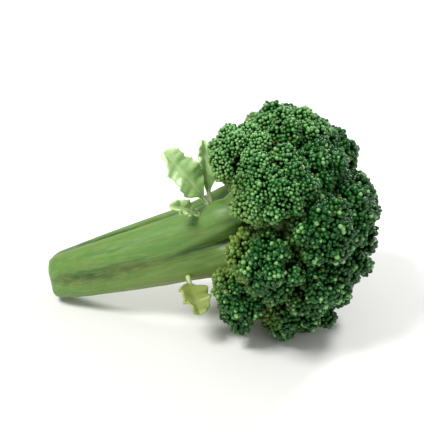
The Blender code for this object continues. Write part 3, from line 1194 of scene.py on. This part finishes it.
        # a share of the buds is painted much paler: painted glints
        pale = self.draw.random(number) > 1 - self.pale_buds
        shade = (shade + pale * 0.75 * contrast).clip(0.0, 1.3)
        yellowed = (self.draw.random(number) > 1 - self.yellow_buds) * 0.5
        return shade, np.clip(rim * (0.3 + 0.5 * below) + yellowed, 0.0, 0.8)

    def add_heart(self, batch: Batch, centres: np.ndarray, radii: np.ndarray) -> None:
        """Fills the cluster behind its buds with a body in painted shade, so that the gaps between
        them end in the dark.

        Args:
            batch: the cluster's mesh so far.
            centres: the knobs' centres.
            radii: the knobs' radii.
        """
        bpy.ops.object.select_all(action="DESELECT")
        bpy.ops.mesh.primitive_ico_sphere_add(subdivisions=4, radius=1.0)
        ball = Shape.taken_from(bpy.context.object)
        directions = unit(ball.points)
        reach, _ = self.outer_surface(directions, centres, radii)
        facing = directions @ self.axis
        inset = self.heart_inset + np.clip(-0.3 - facing, 0.0, 1.0) * 4.0 * MM
        reach = np.maximum(np.where(reach > 0, reach, self.size * 0.5) - inset, 0.8 * MM)
        tones = np.zeros((len(directions), 4))
        batch.add(self.centre + directions * reach[:, None], ball.faces, 2, tones)

    def add_stems(self, batch: Batch, centres: np.ndarray, radii: np.ndarray) -> None:
        """Leads fine stems from the branch's end to the knobs.

        Args:
            batch: the cluster's mesh so far.
            centres: the knobs' centres.
            radii: the knobs' radii.
        """
        foot = self.centre - self.axis * (self.seat + 0.9 * MM)
        fork = self.centre - self.axis * (self.seat - 0.8 * MM)
        tones = np.tile((0.6, 0.8, 0.0, 0.5), (len(self.stem.points), 1))
        points = led_along(self.stem, (foot, (foot + fork) / 2, self.centre), self.core_radii)
        batch.add(points, self.stem.faces, 1, tones)
        for centre, radius in zip(centres, radii, strict=True):
            away = unit(centre - self.centre)
            if away @ self.axis > 0.75:
                continue
            sideways = unit(away - self.axis * (away @ self.axis))
            start = fork + sideways * 0.7 * MM - self.axis * 0.6 * MM
            end = centre + away * radius * 0.35 - self.axis * radius * 0.25
            control = (start + end) / 2 - self.axis * 0.7 * MM + sideways * 0.5 * MM
            points = led_along(self.stem, (start, control, end), self.stem_radii)
            batch.add(points, self.stem.faces, 1, tones)


# ---- Leaflets ---------------------------------------------------------------------------------


@dataclass
class LeafletBlade:
    """A small leaf: a thin blade with a lobed, ruffled edge, on a midrib from the stalk."""

    name: str
    growth: Growth
    stem: Shape
    finish: bpy.types.Material
    warmth: float
    seed: int
    thickness: float = 0.3 * MM
    petiole: float = 0.1  # the share of the length that is a narrow foot
    steps: tuple[int, int] = (30, 18)  # the blade's faces along and across
    ruffle: float = 0.55 * MM
    lobes: float = 2.6
    fold: float = 0.9 * MM  # how far the two halves rise beside the midrib
    curl: float = 1.3 * MM  # how far the tip bends down
    rib_radii: tuple[float, float] = (0.62 * MM, 0.14 * MM)

    def __post_init__(self) -> None:
        """Reads the leaf's place and size from its solid."""
        points = node_points(self.name)
        middle = points.mean(axis=0)
        _, _, axes = np.linalg.svd(points - middle, full_matrices=False)
        along, across, _ = axes
        stalk = node_surface("stalk")
        way = (points - middle) @ along
        ends = [middle + along * way.min(), middle + along * way.max()]
        gaps = [stalk.find_nearest(Vector(end))[3] for end in ends]
        if gaps[0] > gaps[1]:
            ends.reverse()
        self.foot, tip = ends
        self.length = float(np.linalg.norm(tip - self.foot))
        self.along = unit(tip - self.foot)
        self.across = unit(across - self.along * (across @ self.along))
        self.width = float(np.ptp((points - middle) @ self.across))
        up = np.cross(self.along, self.across)
        self.up = up if up[2] > 0 else -up
        self.root = np.array(stalk.find_nearest(Vector(self.foot))[0])

    def build(self) -> bpy.types.Object:
        """Models the leaflet.

        Returns:
            The finished object.
        """
        bpy.ops.object.select_all(action="DESELECT")
        along, across = self.steps
        bpy.ops.mesh.primitive_grid_add(x_subdivisions=along, y_subdivisions=across, size=2.0)
        obj = bpy.context.object
        obj.name = obj.data.name = self.name + "_blade"
        draw = np.random.default_rng(self.seed)
        phases = draw.uniform(0, math.tau, 3)
        tones = []
        for vertex in obj.data.vertices:
            share, side = (vertex.co.x + 1) / 2, vertex.co.y
            place, vein = self.blade_point(share, side, phases)
            vertex.co = place
            pale = min(1.0, share * (0.3 + 0.9 * abs(side)))
            tones.append((vein * 0.7, pale, self.warmth, 1.0))
        attribute = obj.data.color_attributes.new(TONE, "FLOAT_COLOR", "POINT")
        attribute.data.foreach_set("color", np.array(tones).ravel())
        apply_modifier(obj, "SOLIDIFY", thickness=self.thickness, offset=0.0)
        obj.data.materials.append(self.finish)
        obj.data.shade_smooth()
        rib = self.midrib()
        select_only(obj)
        rib.select_set(True)
        bpy.ops.object.join()
        return obj

    def blade_point(
        self, share: float, side: float, phases: np.ndarray
    ) -> tuple[np.ndarray, float]:
        """Finds a point of the blade.

        Args:
            share: the way from the foot to the tip, 0 to 1.
            side: the way across, -1 to 1.
            phases: shifts of the lobes and of the two edges' waves.

        Returns:
            The point, and how much of a vein it is.
        """
        reach = max(0.0, (share - self.petiole) / (1.0 - self.petiole))
        swell = math.sin(math.pi * min(1.0, 0.08 + reach**0.8 * 0.9)) ** 0.55
        half = self.width / 2 * (0.12 + 0.88 * swell * min(1.0, reach * 4.0))
        turn = math.pi * self.lobes * reach
        half *= 1 - 0.16 * abs(math.sin(turn * 1.3 + phases[0] * (1 if side > 0 else 2)))
        wave = math.sin(2 * turn + phases[1 if side > 0 else 2]) + 0.5 * math.sin(5.3 * turn)
        vein = math.exp(-((side / 0.12) ** 2))
        slant = (reach * 5 - abs(side) * 1.4) % 1.0
        vein = max(vein, 0.6 * math.exp(-(((slant - 0.5) / 0.12) ** 2)) * (1 - abs(side)))
        wide = min(1.0, reach * 3.0)
        rise = wide * (self.ruffle * abs(side) ** 1.5 * wave + abs(side) * self.fold)
        rise += 0.1 * MM * vein - self.curl * reach**2.2
        place = self.foot + self.along * share * self.length
        return place + self.across * side * half + self.up * rise, vein

    def midrib(self) -> bpy.types.Object:
        """Models the leaf's stem, from inside the stalk along the underside of the blade.

        Returns:
            The stem's object.
        """
        batch = Batch()
        inward = unit(self.root - self.foot)
        start = self.root + inward * 0.6 * MM
        end = self.foot + self.along * self.length * 0.8 - self.up * 0.6 * MM
        control = self.foot + self.along * self.length * 0.1 - self.up * 0.15 * MM
        points = led_along(self.stem, (start, control, end), self.rib_radii)
        tones = np.tile((0.75, 0.3, self.warmth * 0.5, 1.0), (len(points), 1))
        batch.add(points, self.stem.faces, 0, tones)
        return batch.build(self.name + "_rib", [self.finish])


# ---- Studio -----------------------------------------------------------------------------------


@dataclass(frozen=True)
class Lamp:
    """A soft light: where it hangs, how large it is, and how strong."""

    name: str
    place: tuple[float, float, float]
    size: float
    power: float

    def build(self, target: Vector) -> None:
        """Hangs the lamp.

        Args:
            target: where it faces, and what its place is measured from.
        """
        lamp = bpy.data.lights.new(self.name, "AREA")
        lamp.shape = "DISK"
        lamp.size = self.size
        lamp.energy = self.power
        obj = bpy.data.objects.new(self.name, lamp)
        obj.location = target + Vector(self.place)
        obj.rotation_euler = (target - obj.location).to_track_quat("-Z", "Y").to_euler()
        bpy.context.scene.collection.objects.link(obj)


@dataclass
class Studio:
    """A pale floor, soft light and the camera."""

    azimuth: float = math.radians(5.0)
    elevation: float = math.radians(28.0)
    lens: float = 170.0
    frame_width: float = 80.0 * MM
    floor_size: float = 6.0
    floor_colour: str = "e9e8e5"
    sky: float = 0.42
    lamps: tuple[Lamp, ...] = (
        Lamp("key_light", (-0.22, -0.16, 0.42), 0.2, 2.6),
        Lamp("fill_light", (0.3, -0.35, 0.22), 0.3, 0.5),
        Lamp("back_light", (0.2, 0.34, 0.3), 0.14, 2.2),
    )

    def build(self, box: tuple[Vector, Vector]) -> None:
        """Sets up the studio round the object.

        Args:
            box: the object's lowest and highest corners.
        """
        low, high = box
        centre = (low + high) / 2
        self.add_floor(low.z)
        for lamp in self.lamps:
            lamp.build(centre)
        self.add_camera(centre)
        world = bpy.data.worlds.new("studio_air")
        world.use_nodes = True
        white = {"Color": (1.0, 1.0, 1.0, 1.0), "Strength": self.sky}
        set_surface(world.node_tree.nodes["Background"], white)
        bpy.context.scene.world = world
        bpy.context.scene.view_settings.view_transform = "Standard"

    def add_floor(self, level: float) -> None:
        """Lays the floor.

        Args:
            level: its height.
        """
        bpy.ops.object.select_all(action="DESELECT")
        bpy.ops.mesh.primitive_plane_add(size=self.floor_size, location=(0.0, 0.0, level))
        floor = bpy.context.object
        floor.name = "floor"
        material, tree, shader = new_material("matt white studio paint")
        grain = add_node(tree, "ShaderNodeTexNoise", {"Scale": 900.0, "Detail": 2.0})
        add_bump(tree, shader, grain.outputs["Fac"], 0.04, MM)
        set_surface(shader, {"Base Color": linear(self.floor_colour), "Roughness": 0.6})
        floor.data.materials.append(material)
        floor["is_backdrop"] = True

    def add_camera(self, centre: Vector) -> None:
        """Sets up the camera.

        Args:
            centre: what it aims at.
        """
        data = bpy.data.cameras.new("camera")
        data.lens = self.lens
        distance = self.frame_width * self.lens / data.sensor_width
        back = Vector(
            (
                math.sin(self.azimuth) * math.cos(self.elevation),
                -math.cos(self.azimuth) * math.cos(self.elevation),
                math.sin(self.elevation),
            )
        )
        camera = bpy.data.objects.new("camera", data)
        camera.location = centre + back * distance
        camera.rotation_euler = (-back).to_track_quat("-Z", "Y").to_euler()
        bpy.context.scene.collection.objects.link(camera)
        bpy.context.scene.camera = camera


def finish_piece(piece: bpy.types.Object, node: str, slot: Slot) -> None:
    """Attaches a piece to the floret's root body, hides the CAD node that it stands for, and logs
    its faces.

    Args:
        piece: the finished object.
        node: the CAD node that it stands for.
        slot: not used.
    """
    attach(piece, "root")
    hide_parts(node)
    log.info("%s: %d faces", piece.name, len(piece.data.polygons))


def main() -> None:
    """Builds the floret's looks and the studio."""
    logging.basicConfig(level=logging.INFO, format="%(name)s: %(message)s")
    clusters = sorted(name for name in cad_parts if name.startswith("bud_cluster"))
    growth = Growth.read(clusters)
    rise = math.asin(float(growth.axis[2]))
    bud, stem = BudModel().build(), StemModel().build()
    bud_skin, shade_heart_skin = BudSkin().build(), ShadeHeartSkin().build()
    stem_skin = StemSkin(name="steamed broccoli fine stem, moist flesh", growth_rise=rise).build()
    leaf_skin = LeafSkin().build()

    stalk = Stalk(growth, StemSkin(growth_rise=rise)).build()
    finish_piece(stalk, "stalk", Slot.STALK)
    gaps = CrownGaps(clusters, growth).knobs()
    for index, name in enumerate(clusters):
        finishes = [bud_skin, stem_skin, shade_heart_skin]
        seed = CLUSTER_SEED + index
        cluster = BudCluster(name, growth, bud, stem, finishes, gaps[name], seed)
        finish_piece(cluster.build(), name, Slot.BUDS)
    for index, (name, warmth) in enumerate(LEAF_WARMTH.items()):
        leaf = LeafletBlade(name, growth, stem, leaf_skin, warmth, seed=LEAF_SEED + index)
        finish_piece(leaf.build(), name, Slot.LEAF)

    visual_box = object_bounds()
    Studio().build(visual_box)
    boxes = {"cad": cad_box, "visual": visual_box}
    {name: [list(corner) for corner in box] for name, box in boxes.items()}


if __name__ == "__main__":
    main()
